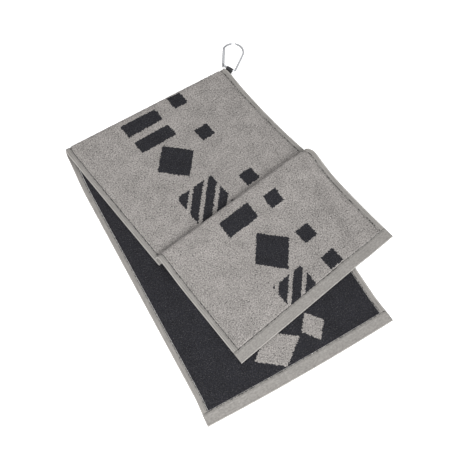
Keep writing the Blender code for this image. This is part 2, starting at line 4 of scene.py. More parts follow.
import bpy
import numpy as np
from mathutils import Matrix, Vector


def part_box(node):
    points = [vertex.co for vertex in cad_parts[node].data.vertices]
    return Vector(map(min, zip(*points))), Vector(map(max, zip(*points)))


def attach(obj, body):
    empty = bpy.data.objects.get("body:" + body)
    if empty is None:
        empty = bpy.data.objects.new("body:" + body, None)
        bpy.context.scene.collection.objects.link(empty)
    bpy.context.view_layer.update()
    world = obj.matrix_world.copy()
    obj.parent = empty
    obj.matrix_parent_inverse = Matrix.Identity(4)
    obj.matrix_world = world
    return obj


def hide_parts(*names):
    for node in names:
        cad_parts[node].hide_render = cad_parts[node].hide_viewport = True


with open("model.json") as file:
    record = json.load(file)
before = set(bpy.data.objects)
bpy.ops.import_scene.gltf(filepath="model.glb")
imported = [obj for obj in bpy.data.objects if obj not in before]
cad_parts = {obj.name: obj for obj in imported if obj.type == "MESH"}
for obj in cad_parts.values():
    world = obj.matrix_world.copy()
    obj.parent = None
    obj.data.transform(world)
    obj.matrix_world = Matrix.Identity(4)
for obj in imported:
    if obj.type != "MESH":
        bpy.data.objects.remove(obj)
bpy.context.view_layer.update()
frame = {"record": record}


# ---------------------------------------------------------------------------------------------------------
# The lie of the cloth
# One strip of cloth, 320 mm wide. It runs up the table to the main fold, comes back over itself, takes one
# narrow pleat and ends short of where it began. Every soft piece is laid on this one surface.

HALF_WIDTH = 0.160
CLOTH_THICKNESS = 0.0034
LAYER_GAP = 0.0008
LAYER_PITCH = CLOTH_THICKNESS + LAYER_GAP
BASE_HEIGHT = CLOTH_THICKNESS / 2
UNDER_RUN = 0.5295
FIRST_RUN = 0.251
PLEAT_TUCK = 0.0135
LAST_RUN = 0.213
FOLD_RADIUS = 0.0036
PLEAT_RADIUS = 0.0029
SETTLE_LENGTH = 0.070
FOLD_TILT, TURN_TILT, END_TILT = np.radians([2.2, 9.7, 10.8])
FIRST_ANGLE, LAST_ANGLE = np.radians([9.9, 8.9])
FOLD_SHIFT = 0.004
SHIFT_START = 0.8
TUCK_SHIFT = 0.005
CORNER_DRAW_IN = 0.0065
CORNER_REACH = 0.0085
CORNER_START, CORNER_RAMP = 0.120, 0.040
CREST_INSET, CREST_REACH = 0.002, 0.008
FIRST_BOW, FIRST_BOW_START = 0.005, 0.0015
LAST_BOW, LAST_BOW_START = 0.003, 0.0035
END_FLARE, END_FLARE_REACH = 0.003, 0.050
END_BOW, END_BOW_REACH = 0.003, 0.060
DROP_RAMP = 0.030
PROBE = 0.0005
FOLD_AT = UNDER_RUN - CLOTH_THICKNESS / 2 - FOLD_RADIUS
LOWER_TURN_AT = UNDER_RUN - FIRST_RUN + CLOTH_THICKNESS / 2 + LAYER_PITCH / 2
PLEAT_CREST = UNDER_RUN - FIRST_RUN + PLEAT_TUCK
PLEAT_AT = PLEAT_CREST - CLOTH_THICKNESS / 2 - PLEAT_RADIUS

hem_low, hem_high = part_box("under_end_hem")
HEM_MIDDLE = np.array([(hem_low[0] + hem_high[0]) / 2, hem_low[1]])


def mix(first, second, share):
    """Straight mix: first at share 0, second at share 1."""
    return first + (second - first) * share


def ease(value):
    """Smooth step: 3 v squared minus 2 v cubed, with v held between 0 and 1."""
    value = np.clip(value, 0, 1)
    return value * value * (3 - 2 * value)


def stretch(start, end, high, low, upper, last, steps):
    """Side view of a layer: height falls from high to low along half a cosine wave."""
    share = np.linspace(0, 1, steps)
    height = low + (high - low) * (1 + np.cos(np.pi * share)) / 2
    slope = -(high - low) * np.pi / 2 * np.sin(np.pi * share) / abs(end - start)
    way = np.sign(end - start)
    size = np.hypot(1, slope)
    flat = np.ones(steps)
    return np.stack([mix(start, end, share), height, way / size, slope / size, upper * flat, last * flat], 1)


def turn(centre, low, radius, way, upper, last, steps=25):
    """Side view of a half turn upwards: a half circle that bulges forwards, or back where way is -1."""
    share = np.linspace(0, 1, steps)
    angle = np.pi * share
    across, rise = centre + way * radius * np.sin(angle), low + radius * (1 - np.cos(angle))
    layers = [mix(*upper, share), mix(*last, share)]
    return np.stack([across, rise, way * np.cos(angle), np.sin(angle), *layers], 1)


settled = BASE_HEIGHT + LAYER_PITCH
tucked = settled + LAYER_PITCH
fold_top = BASE_HEIGHT + 2 * FOLD_RADIUS
pleat_top = tucked + 2 * PLEAT_RADIUS
side_view = np.concatenate([
    stretch(0, FOLD_AT, BASE_HEIGHT, BASE_HEIGHT, 0, 0, steps=200),
    turn(FOLD_AT, BASE_HEIGHT, FOLD_RADIUS, 1, (0, 1), (0, 0))[1:],
    stretch(FOLD_AT, FOLD_AT - SETTLE_LENGTH, fold_top, settled, 1, 0, steps=40)[1:],
    stretch(FOLD_AT - SETTLE_LENGTH, LOWER_TURN_AT, settled, settled, 1, 0, steps=80)[1:],
    turn(LOWER_TURN_AT, settled, LAYER_PITCH / 2, -1, (1, 1), (0, 0))[1:],
    stretch(LOWER_TURN_AT, PLEAT_AT, tucked, tucked, 1, 0, steps=6)[1:],
    turn(PLEAT_AT, tucked, PLEAT_RADIUS, 1, (1, 1), (0, 1))[1:],
    stretch(PLEAT_AT, PLEAT_AT - SETTLE_LENGTH, pleat_top, settled, 1, 1, steps=40)[1:],
    stretch(PLEAT_AT - SETTLE_LENGTH, PLEAT_CREST - LAST_RUN, settled, settled, 1, 1, steps=70)[1:],
])
steps_along = np.hypot(np.diff(side_view[:, 0]), np.diff(side_view[:, 1]))
run_so_far = np.concatenate([[0], np.cumsum(steps_along)])
CLOTH_LENGTH = run_so_far[-1]
CREST_RUN = FOLD_AT + np.pi * FOLD_RADIUS / 2
PLEAT_RUN = run_so_far[np.argmax(side_view[:, 5] > 0.5)]


def heading(angle):
    """Unit vector in plan, away from the main fold and turned by angle."""
    return np.array([np.sin(angle), -np.cos(angle)])


def lay(run, across, lift):
    """Point of the folded cloth in the frame.

    The side view gives distance and height at a run along the cloth. A straight line across the cloth,
    placed and tilted in plan for that distance, gives the point, which then moves by lift along the normal.
    """
    run, across, lift = np.broadcast_arrays(run, across, lift)
    distance, height, forward, rise, upper, last = (
        np.interp(run, run_so_far, side_view[:, row]) for row in range(6)
    )
    upper_pair, last_pair = upper[..., None], last[..., None]
    near_fold = ease((distance / UNDER_RUN - SHIFT_START) / (1 - SHIFT_START))
    back = UNDER_RUN - distance
    gone = PLEAT_CREST - distance
    crest = np.array([FOLD_SHIFT, UNDER_RUN])
    under_centre = np.stack([FOLD_SHIFT * near_fold, distance], -1)
    first_centre = crest + back[..., None] * heading(FIRST_ANGLE)
    pleat = crest + heading(FIRST_ANGLE) * (UNDER_RUN - PLEAT_CREST)
    pleat = pleat + np.array([np.cos(TURN_TILT), np.sin(TURN_TILT)]) * TUCK_SHIFT
    last_centre = pleat + gone[..., None] * heading(LAST_ANGLE)
    first_tilt = mix(FOLD_TILT, TURN_TILT, np.minimum(1, back / FIRST_RUN))
    last_tilt = mix(TURN_TILT, END_TILT, np.clip(gone / LAST_RUN, 0, 1))
    centre = mix(under_centre, mix(first_centre, last_centre, last_pair), upper_pair)
    tilt = mix(FOLD_TILT * near_fold, mix(first_tilt, last_tilt, last), upper)
    way = mix(np.array([0.0, 1.0]), -mix(heading(FIRST_ANGLE), heading(LAST_ANGLE), last_pair), upper_pair)
    way = way / np.linalg.norm(way, axis=-1, keepdims=True)
    first_bow = FIRST_BOW * np.sin(np.pi * np.minimum(1, back / FIRST_RUN)) - FIRST_BOW_START
    last_bow = LAST_BOW * np.sin(np.pi * np.clip(gone / LAST_RUN, 0, 1)) - LAST_BOW_START
    inset = CREST_INSET * np.exp(-((run - CREST_RUN) / CREST_REACH) ** 2)
    corner = np.exp(-((run - PLEAT_RUN) / CORNER_REACH) ** 2)
    corner = corner * ease((across - CORNER_START) / CORNER_RAMP)
    inset = inset + CORNER_DRAW_IN * corner
    inset = inset + np.where(across > 0, upper * mix(first_bow, last_bow, last), 0)
    side = across / HALF_WIDTH
    end_flare = END_FLARE * ease((END_FLARE_REACH - run) / END_FLARE_REACH) * np.abs(side) ** 3
    end_bow = -END_BOW * ease((END_BOW_REACH - run) / END_BOW_REACH) * (1 - side ** 2)
    reach = across * (1 + (end_flare - inset) / HALF_WIDTH)
    plan = centre + np.stack([np.cos(tilt), np.sin(tilt)], -1) * reach[..., None]
    plan = plan + way * (rise * lift + end_bow)[..., None]
    drop = LAYER_PITCH * ease((plan[..., 0] - HALF_WIDTH - 2 * FOLD_SHIFT) / DROP_RAMP)
    drop = drop * upper * ease(back / SETTLE_LENGTH)
    up = height - forward * lift - drop
    return np.concatenate([plan + HEM_MIDDLE, up[..., None]], -1)


def soft_waves(run, across, wavelength, seed):
    """Gentle unevenness from -1 to 1: eight sine waves that cross the cloth in seeded directions."""
    dice = np.random.default_rng(seed)
    angles, phases = dice.uniform(0, np.pi, 8), dice.uniform(0, 2 * np.pi, 8)
    lengths = wavelength * dice.uniform(0.7, 1.5, 8)
    waves = [
        np.sin(2 * np.pi * (run * np.cos(angle) + across * np.sin(angle)) / length + phase)
        for angle, length, phase in zip(angles, lengths, phases)
    ]
    return np.sum(waves, 0) / 4


def mesh_object(name, points, faces, uv, materials, face_materials=None):
    """Smooth mesh object at the origin, with a UV map that holds across and run in metres."""
    mesh = bpy.data.meshes.new(name)
    mesh.from_pydata(points, [], faces)
    layer = mesh.uv_layers.new(name="cloth")
    corner = np.empty(len(mesh.loops), dtype=np.int32)
    mesh.loops.foreach_get("vertex_index", corner)
    layer.data.foreach_set("uv", np.asarray(uv)[corner].ravel())
    for material in materials:
        mesh.materials.append(material)
    if face_materials is not None:
        mesh.polygons.foreach_set("material_index", np.asarray(face_materials, dtype=np.int32))
    mesh.shade_smooth()
    obj = bpy.data.objects.new(name, mesh)
    bpy.context.scene.collection.objects.link(obj)
    return obj


def sheet_faces(grid):
    """Faces of a closed sheet: those of the grid, their copies on the reverse, and the rim between them."""
    top = np.stack([grid[:-1, :-1], grid[1:, :-1], grid[1:, 1:], grid[:-1, 1:]], -1).reshape(-1, 4)
    loop = np.concatenate([grid[:-1, 0], grid[-1, :-1], grid[:0:-1, -1], grid[0, :0:-1]])
    ahead = np.roll(loop, -1)
    rim = np.stack([ahead, loop, loop + grid.size, ahead + grid.size], -1)
    return top, top[:, ::-1] + grid.size, rim


def cloth_body(name, runs, acrosses, front, reverse, materials):
    """Closed sheet on a run by across grid: front face at lift front, reverse at minus reverse, and a rim."""
    run, across = np.meshgrid(runs, acrosses, indexing="ij")
    faces_of_cloth = [lay(run, across, front).reshape(-1, 3), lay(run, across, -reverse).reshape(-1, 3)]
    top, bottom, rim = sheet_faces(np.arange(run.size).reshape(run.shape))
    uv = np.tile(np.stack([across.ravel() + HALF_WIDTH, run.ravel()], 1), (2, 1))
    sides = np.concatenate([np.zeros(len(top)), np.ones(len(bottom)), np.zeros(len(rim))])
    faces = np.concatenate([top, bottom, rim])
    return mesh_object(name, np.concatenate(faces_of_cloth), faces, uv, materials, sides)


# ---------------------------------------------------------------------------------------------------------
# Terry cloth
# Cotton terry, jacquard woven in two yarns: grey ground and charcoal blocks on the front, and the other way
# round on the reverse. One closed sheet, with small pinches of yarn standing on each face that shows.

GREY_YARN = (0.226, 0.213, 0.203)
CHARCOAL_YARN = (0.0110, 0.0112, 0.0145)
LOOP_SIZE = 0.0019
FIELD_EDGE = 0.1500
FIELD_END = 0.0204
FIELD_STEP = 0.0026
FIELD_RIM_SHARE, FIELD_RIM_RADIUS = 0.55, 0.004
FIELD_SINK = 0.00030
GRAIN_DIP, GRAIN_RISE = 0.00022, 0.00010
DRIFT_HEIGHT, DRIFT_LENGTH = 0.00012, 0.020
PINCH_SPACING = 0.0018
PINCH_JITTER = 0.4
PINCH_SINK = 0.00025
PINCH_LEAN = 0.5
PINCH_SCALES = (0.8, 1.15)
PINCH_HALVES = (0.00105, 0.00055, 0.00050)
PINCH_MARGIN = 0.0015
CREST_LEAD, FIRST_PINCHES_END = 0.002, 0.768
PLEAT_LEAD = 0.006
UNDER_PINCHES_END = 0.516
SHOWN_RUN, SHOWN_ACROSS, SHOWN_SLOPE = 0.135, -0.095, 0.10


def add(tree, kind, feeds=None, **settings):
    """Adds a node. feeds gives its sockets a plain value, or another node's output."""
    made = tree.nodes.new(kind)
    for key, value in settings.items():
        setattr(made, key, value)
    for key, value in (feeds or {}).items():
        if isinstance(value, bpy.types.NodeSocket):
            tree.links.new(value, made.inputs[key])
        else:
            made.inputs[key].default_value = value
    return made


def sums(tree, operation, first, second, third=None):
    """One maths node's output. third is used by the operations that take three values."""
    feeds = {0: first, 1: second}
    if third is not None:
        feeds[2] = third
    return add(tree, "ShaderNodeMath", feeds, operation=operation).outputs[0]


def new_material(name):
    """Material with nodes. Returns it, its tree and its Principled shader."""
    material = bpy.data.materials.new(name)
    material.use_nodes = True
    return material, material.node_tree, material.node_tree.nodes["Principled BSDF"]


def new_group(name, inputs, outputs):
    """Empty shader node group with named sockets. Returns its tree, its input node and its output node."""
    tree = bpy.data.node_groups.new(name, "ShaderNodeTree")
    for label, kind in inputs.items():
        tree.interface.new_socket(label, in_out="INPUT", socket_type=kind)
    for label, kind in outputs.items():
        tree.interface.new_socket(label, in_out="OUTPUT", socket_type=kind)
    return tree, tree.nodes.new("NodeGroupInput"), tree.nodes.new("NodeGroupOutput")


def make_pile_group():
    """Terry loops: rounded cells of one size in a slightly wandering grid, with broad light and dark drifts.

    Peep is how much of the other yarn shows between the loops, and Loop Place is the middle of each loop.
    Shade is painted shade, darker away from each loop's crown and in the gaps between loops, with random
    tone from clumps and drifts.
    """
    tree, given, result = new_group(
        "terry_pile",
        {"Place": "NodeSocketVector", "Loop Size": "NodeSocketFloat"},
        {"Height": "NodeSocketFloat", "Shade": "NodeSocketFloat", "Peep": "NodeSocketFloat",
         "Loop Place": "NodeSocketVector"},
    )
    turns = sums(tree, "DIVIDE", 1.0, given.outputs["Loop Size"])
    place = add(tree, "ShaderNodeVectorMath", {0: given.outputs["Place"], "Scale": turns}, operation="SCALE")
    wander = add(tree, "ShaderNodeTexNoise", {"Vector": place.outputs[0], "Scale": 0.7, "Detail": 2.0})
    moved = add(
        tree, "ShaderNodeVectorMath", {0: place.outputs[0], 1: wander.outputs["Color"]}, operation="ADD"
    )
    cells = add(
        tree, "ShaderNodeTexVoronoi", {"Vector": moved.outputs[0], "Scale": 1.0},
        voronoi_dimensions="2D", feature="F1",
    )
    crown = sums(tree, "SUBTRACT", 1.0, cells.outputs["Distance"])
    fuzz = add(tree, "ShaderNodeTexNoise", {"Vector": place.outputs[0], "Scale": 3.1, "Detail": 3.0})
    height = sums(tree, "MULTIPLY_ADD", fuzz.outputs["Fac"], 0.45, crown)
    drift = add(tree, "ShaderNodeTexNoise", {"Vector": place.outputs[0], "Scale": 0.06, "Detail": 2.0})
    clump = add(tree, "ShaderNodeTexNoise", {"Vector": place.outputs[0], "Scale": 0.80, "Detail": 1.0})
    # Painted shade: the colour darkens with the loop height, away from each crown and into the gaps between
    # loops.
    shade = sums(tree, "MULTIPLY_ADD", height, 0.95, -0.70)
    shade = sums(tree, "MULTIPLY_ADD", clump.outputs["Fac"], 1.30, shade)
    shade = sums(tree, "MULTIPLY_ADD", drift.outputs["Fac"], 0.55, shade)
    shade = sums(tree, "MAXIMUM", shade, 0.15)
    specks = add(tree, "ShaderNodeTexNoise", {"Vector": place.outputs[0], "Scale": 1.15, "Detail": 1.0})
    peep = add(
        tree, "ShaderNodeMapRange",
        {"Value": specks.outputs["Fac"], "From Min": 0.54, "From Max": 0.74, "To Min": 0.0, "To Max": 0.16},
    )
    wandered = add(
        tree, "ShaderNodeVectorMath", {0: cells.outputs["Position"], 1: wander.outputs["Color"]},
        operation="SUBTRACT",
    )
    loop_place = add(
        tree, "ShaderNodeVectorMath", {0: wandered.outputs[0], "Scale": given.outputs["Loop Size"]},
        operation="SCALE",
    )
    tree.links.new(peep.outputs[0], result.inputs["Peep"])
    tree.links.new(loop_place.outputs[0], result.inputs["Loop Place"])
    tree.links.new(height, result.inputs["Height"])
    tree.links.new(shade, result.inputs["Shade"])
    return tree


# Each block gives its middle along the repeat and across, then its half sizes the same two ways, in metres.
# The small squares share one half size. The end diamonds are placed from the end of the under layer.
BLOCK_REPEAT = 0.480
BLOCK_START = 0.525
BARS = [(0.030, -0.025, 0.0125, 0.034), (0.068, -0.025, 0.0125, 0.034), (0.302, -0.018, 0.0150, 0.030)]
DIAMONDS = [(0.124, -0.024, 0.037, 0.037), (0.376, -0.008, 0.040, 0.036)]
STRIPED = [(0.215, -0.031, 0.034, 0.036), (0.449, -0.018, 0.026, 0.029)]
STRIPE_PITCH = 0.0300
STRIPE_SHARE = 0.70
SMALL_BLOCKS = [
    (0.023, 0.051), (0.104, 0.050), (0.222, 0.053), (0.307, 0.051), (0.388, 0.055), (0.447, 0.057),
]
SMALL_HALF = 0.0130
END_DIAMONDS = [(0.050, -0.016, 0.029, 0.040), (0.054, 0.050, 0.024, 0.020)]
END_ZONE = 0.110


def make_block_group():
    """Mask of the woven blocks, 1 on a block: bars, diamonds, slanted stripes and small squares."""
    tree, given, result = new_group(
        "woven_blocks", {"Place": "NodeSocketVector"}, {"Mask": "NodeSocketFloat"}
    )
    parts = add(tree, "ShaderNodeSeparateXYZ", {0: given.outputs["Place"]})
    across = sums(tree, "SUBTRACT", parts.outputs["X"], HALF_WIDTH)
    along = parts.outputs["Y"]
    repeat = sums(tree, "WRAP", sums(tree, "SUBTRACT", along, BLOCK_START), BLOCK_REPEAT, 0.0)

    def both(first, second):
        return sums(tree, "MULTIPLY", first, second)

    def box(run_value, run_at, across_at, run_half, across_half):
        in_run = sums(tree, "COMPARE", run_value, run_at, run_half)
        return both(in_run, sums(tree, "COMPARE", across, across_at, across_half))

    def diamond(run_value, run_at, across_at, run_half, across_half):
        run_off = sums(tree, "ABSOLUTE", sums(tree, "SUBTRACT", run_value, run_at), 0.0)
        across_off = sums(tree, "ABSOLUTE", sums(tree, "SUBTRACT", across, across_at), 0.0)
        across_share = sums(tree, "DIVIDE", across_off, across_half)
        reach = sums(tree, "MULTIPLY_ADD", run_off, 1 / run_half, across_share)
        return sums(tree, "LESS_THAN", reach, 1.0)

    slant = sums(tree, "WRAP", sums(tree, "ADD", repeat, across), STRIPE_PITCH, 0.0)
    stripes = sums(tree, "LESS_THAN", slant, STRIPE_PITCH * STRIPE_SHARE)
    shapes = [box(repeat, *sizes) for sizes in BARS]
    shapes += [diamond(repeat, *sizes) for sizes in DIAMONDS]
    shapes += [both(box(repeat, *sizes), stripes) for sizes in STRIPED]
    shapes += [box(repeat, *middle, SMALL_HALF, SMALL_HALF) for middle in SMALL_BLOCKS]
    mask = shapes[0]
    for shape in shapes[1:]:
        mask = sums(tree, "MAXIMUM", mask, shape)
    mask = both(mask, sums(tree, "GREATER_THAN", along, END_ZONE))
    for sizes in END_DIAMONDS:
        mask = sums(tree, "MAXIMUM", mask, diamond(along, *sizes))
    tree.links.new(mask, result.inputs["Mask"])
    return tree


def shade_colour(tree, colour, shade):
    """Colour multiplied by a shade value."""
    return add(tree, "ShaderNodeVectorMath", {0: colour, "Scale": shade}, operation="SCALE").outputs[0]


def mix_colours(tree, share, first, second):
    """Colour that goes from first to second with share."""
    made = add(tree, "ShaderNodeMix", data_type="RGBA")
    tree.links.new(share, made.inputs[0])
    made.inputs[6].default_value = (*first, 1)
    made.inputs[7].default_value = (*second, 1)
    return made.outputs[2]


def make_terry(name, ground, block):
    """Terry yarn in two colours, picked by the block mask, with the pile's height and its painted shade."""
    material, tree, shader = new_material(name)
    place = add(tree, "ShaderNodeUVMap", uv_map="cloth").outputs[0]
    pile = add(tree, "ShaderNodeGroup", node_tree=PILE_GROUP)
    pile.inputs["Loop Size"].default_value = LOOP_SIZE
    tree.links.new(place, pile.inputs["Place"])
    blocks = add(tree, "ShaderNodeGroup", node_tree=BLOCK_GROUP)
    tree.links.new(pile.outputs["Loop Place"], blocks.inputs["Place"])
    other = sums(tree, "SUBTRACT", 1.0, blocks.outputs["Mask"])
    share = add(
        tree, "ShaderNodeMix", {0: pile.outputs["Peep"], 2: blocks.outputs["Mask"], 3: other},
        data_type="FLOAT",
    ).outputs[0]
    yarn = mix_colours(tree, share, ground, block)
    tree.links.new(shade_colour(tree, yarn, pile.outputs["Shade"]), shader.inputs["Base Color"])
    bump = add(
        tree, "ShaderNodeBump", {"Height": pile.outputs["Height"], "Strength": 0.8, "Distance": 0.0008}
    )
    tree.links.new(bump.outputs[0], shader.inputs["Normal"])
    shader.inputs["Roughness"].default_value = 0.95
    shader.inputs["Sheen Weight"].default_value = 0.05
    shader.inputs["Sheen Roughness"].default_value = 0.6
    shader.inputs["Specular IOR Level"].default_value = 0.08
    return material


PILE_GROUP = make_pile_group()
BLOCK_GROUP = make_block_group()
terry_front = make_terry("terry_front", GREY_YARN, CHARCOAL_YARN)
terry_reverse = make_terry("terry_reverse", CHARCOAL_YARN, GREY_YARN)

field_rows = round((CLOTH_LENGTH - 2 * FIELD_END) / FIELD_STEP)
field_runs = np.linspace(FIELD_END, CLOTH_LENGTH - FIELD_END, field_rows)
field_acrosses = np.linspace(-FIELD_EDGE, FIELD_EDGE, round(2 * FIELD_EDGE / FIELD_STEP))
run_grid, across_grid = np.meshgrid(field_runs, field_acrosses, indexing="ij")
end_gap = np.minimum(run_grid - FIELD_END, CLOTH_LENGTH - FIELD_END - run_grid)
edge_gap = np.minimum(FIELD_EDGE - np.abs(across_grid), end_gap)
rounding = mix(FIELD_RIM_SHARE, 1, np.sqrt(np.clip(edge_gap / FIELD_RIM_RADIUS, 0, 1)))
dice = np.random.default_rng(7)


def pile_height(seed):
    """Half thickness of the sheet: rounded off at the hems, and uneven from loop to loop."""
    grain = dice.uniform(-GRAIN_DIP, GRAIN_RISE, run_grid.shape)
    drift = DRIFT_HEIGHT * soft_waves(run_grid, across_grid, DRIFT_LENGTH, seed)
    return (CLOTH_THICKNESS / 2 - FIELD_SINK) * rounding + grain + drift


terry = cloth_body(
    "terry_sheet", field_runs, field_acrosses, pile_height(3), pile_height(4), [terry_front, terry_reverse]
)
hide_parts("terry_cloth")
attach(terry, "towel")


def yarn_pinches(name, run_range, across_range, way, material, seed, keep=None):
    """Small closed spindles of yarn, one to each cell of a jittered grid, leaning at random on one face."""
    dice = np.random.default_rng(seed)
    runs = np.arange(*run_range, PINCH_SPACING)
    acrosses = np.arange(*across_range, PINCH_SPACING)
    run, across = (grid.ravel() for grid in np.meshgrid(runs, acrosses, indexing="ij"))
    run = run + dice.uniform(-PINCH_JITTER, PINCH_JITTER, run.size) * PINCH_SPACING
    across = across + dice.uniform(-PINCH_JITTER, PINCH_JITTER, run.size) * PINCH_SPACING
    if keep is not None:
        shown = keep(run, across)
        run, across = run[shown], across[shown]
    lift = CLOTH_THICKNESS / 2 - PINCH_SINK
    middle = lay(run, across, way * lift)
    along = lay(run + PROBE, across, way * lift) - middle
    aside = lay(run, across + PROBE, way * lift) - middle
    along /= np.linalg.norm(along, axis=1, keepdims=True)
    aside /= np.linalg.norm(aside, axis=1, keepdims=True)
    normal = np.cross(along, aside) * way
    normal /= np.linalg.norm(normal, axis=1, keepdims=True)
    yaw = dice.uniform(0, np.pi, run.size)[:, None]
    lean = dice.uniform(-PINCH_LEAN, PINCH_LEAN, run.size)[:, None]
    long_axis = (np.cos(yaw) * along + np.sin(yaw) * aside) * np.cos(lean) + normal * np.sin(lean)
    side_axis = np.cross(normal, long_axis)
    side_axis /= np.linalg.norm(side_axis, axis=1, keepdims=True)
    up_axis = np.cross(long_axis, side_axis)
    size = dice.uniform(*PINCH_SCALES, run.size)[:, None]
    ends = [axis * half for axis, half in zip((long_axis, side_axis, up_axis), PINCH_HALVES)]
    points = np.stack([middle + way_on * size * end for end in ends for way_on in (1, -1)], 1)
    faces = np.array([[0, 2, 4], [2, 1, 4], [1, 3, 4], [3, 0, 4], [2, 0, 5], [1, 2, 5], [3, 1, 5], [0, 3, 5]])
    corners = points.shape[1]
    all_faces = (faces[None] + corners * np.arange(run.size)[:, None, None]).reshape(-1, 3)
    uv = np.repeat(np.stack([across + HALF_WIDTH, run], 1), corners, 0)
    obj = mesh_object(name, points.reshape(-1, 3), all_faces, uv, [material])
    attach(obj, "towel")


def shows_under(run, across):
    """True where the under layer isn't covered by the layers above it."""
    return (run < SHOWN_RUN) | (across < SHOWN_ACROSS - (run - SHOWN_RUN) * SHOWN_SLOPE)


inner = FIELD_EDGE - PINCH_MARGIN
first_range = (CREST_RUN - CREST_LEAD, FIRST_PINCHES_END)
last_range = (PLEAT_RUN - PLEAT_LEAD, CLOTH_LENGTH - FIELD_END - PINCH_MARGIN)
under_range = (FIELD_END + PINCH_MARGIN, UNDER_PINCHES_END)
yarn_pinches("first_run_pile", first_range, (-inner, inner), 1, terry_front, 11)
yarn_pinches("last_run_pile", last_range, (-inner, inner), 1, terry_front, 12)
yarn_pinches("under_run_pile", under_range, (-inner, inner), -1, terry_reverse, 13, shows_under)


# ---------------------------------------------------------------------------------------------------------
# Hems
# Flat-woven grey cotton turned over the cut edges: narrow down both sides, wider at both ends. Fine ribs run
# along each hem, and its outer edge is a small roll.

HEM_COLOUR = (0.178, 0.170, 0.160)
SIDE_HEM_WIDTH = 0.0095
END_HEM_WIDTH = 0.020
HEM_HALF = 0.0010
HEM_SINK = 0.00020
RIM_RADIUS, RIM_SHARE = 0.0009, 0.25
ROLL_HEIGHT, ROLL_DEPTH, ROLL_SPREAD = 0.00055, 0.0013, 0.0009
RIB_PITCH = 0.0012
RIB_HEIGHT = 0.00005
SEAM_INSET = 0.0020
GROOVE_DEPTH, GROOVE_SPREAD = 0.00022, 0.0007
RIDGE_HEIGHT, RIDGE_OFFSET, RIDGE_SPREAD = 0.00034, 0.0022, 0.0011
PUCKER_HEIGHT, PUCKER_PITCH = 0.00012, 0.0062
PUCKER_START, PUCKER_RAMP = 0.4, 0.5
RIM_DEPTHS = np.array([0, 0.0002, 0.0005])
ROW_START, ROW_STEP = 0.0009, 0.0003
SIDE_ROWS, END_ROWS = 640, 260
HEM_JOIN_GAP = 0.0003
HEM_CORNER, HEM_CORNER_SHARE = 0.0012, 0.3


def make_hem_cloth(name, streak_scale, side, span, width):
    """Flat cotton with fine cords: streaks, a weave, a painted highlight along the outer roll and broken
    painted shade inside.

    The depth of a point in the hem is its distance from the nearer end of the cloth's span along one axis.
    """
    material, tree, shader = new_material(name)
    place = add(tree, "ShaderNodeUVMap", uv_map="cloth").outputs[0]
    weave = add(tree, "ShaderNodeTexNoise", {"Vector": place, "Scale": 900.0, "Detail": 2.0})
    drift = add(tree, "ShaderNodeTexNoise", {"Vector": place, "Scale": 60.0, "Detail": 2.0})
    long_way = add(tree, "ShaderNodeVectorMath", {0: place, 1: streak_scale}, operation="MULTIPLY")
    streak = add(tree, "ShaderNodeTexNoise", {"Vector": long_way.outputs[0], "Scale": 1.0, "Detail": 2.0})
    shade = sums(tree, "MULTIPLY_ADD", weave.outputs["Fac"], 0.50, 0.15)
    shade = sums(tree, "MULTIPLY_ADD", drift.outputs["Fac"], 0.30, shade)
    shade = sums(tree, "MULTIPLY_ADD", streak.outputs["Fac"], 0.90, shade)
    parts = add(tree, "ShaderNodeSeparateXYZ", {0: place})
    depth = sums(tree, "MINIMUM", parts.outputs[side], sums(tree, "SUBTRACT", span, parts.outputs[side]))
    # Painted highlight: the colour is lighter along the rolled outer edge of the hem.
    edge_highlight = add(
        tree, "ShaderNodeMapRange",
        {"Value": depth, "From Min": 0.0008, "From Max": 0.0026, "To Min": 0.42, "To Max": 0.0},
    ).outputs[0]
    # Painted shade: the colour darkens along the inner edge, where the pile meets the hem, broken into
    # flecks.
    crease_shade = add(
        tree, "ShaderNodeMapRange",
        {"Value": depth, "From Min": width - 0.0026, "From Max": width - 0.0006,
         "To Min": 0.0, "To Max": 0.85},
    ).outputs[0]
    shade = sums(tree, "ADD", shade, edge_highlight)
    crease_shade_breaks = add(tree, "ShaderNodeTexNoise", {"Vector": place, "Scale": 240.0, "Detail": 1.0})
    crease_shade_breaks = add(
        tree, "ShaderNodeMapRange",
        {"Value": crease_shade_breaks.outputs["Fac"], "From Min": 0.44, "From Max": 0.60, "To Min": 0.10, "To Max": 1.0},
    ).outputs[0]
    crease_shade = sums(tree, "MULTIPLY", crease_shade, crease_shade_breaks)
    shade = sums(tree, "MAXIMUM", sums(tree, "SUBTRACT", shade, crease_shade), 0.12)
    tree.links.new(shade_colour(tree, HEM_COLOUR, shade), shader.inputs["Base Color"])
    bump = add(tree, "ShaderNodeBump", {"Height": weave.outputs["Fac"], "Strength": 0.5, "Distance": 0.0003})
    tree.links.new(bump.outputs[0], shader.inputs["Normal"])
    shader.inputs["Roughness"].default_value = 0.88
    shader.inputs["Sheen Weight"].default_value = 0.05
    shader.inputs["Specular IOR Level"].default_value = 0.15
    return material


side_hem_cloth = make_hem_cloth("side_hem_cloth", (750.0, 45.0, 0.0), "X", 2 * HALF_WIDTH, SIDE_HEM_WIDTH)
end_hem_cloth = make_hem_cloth("end_hem_cloth", (260.0, 420.0, 0.0), "Y", CLOTH_LENGTH, END_HEM_WIDTH)


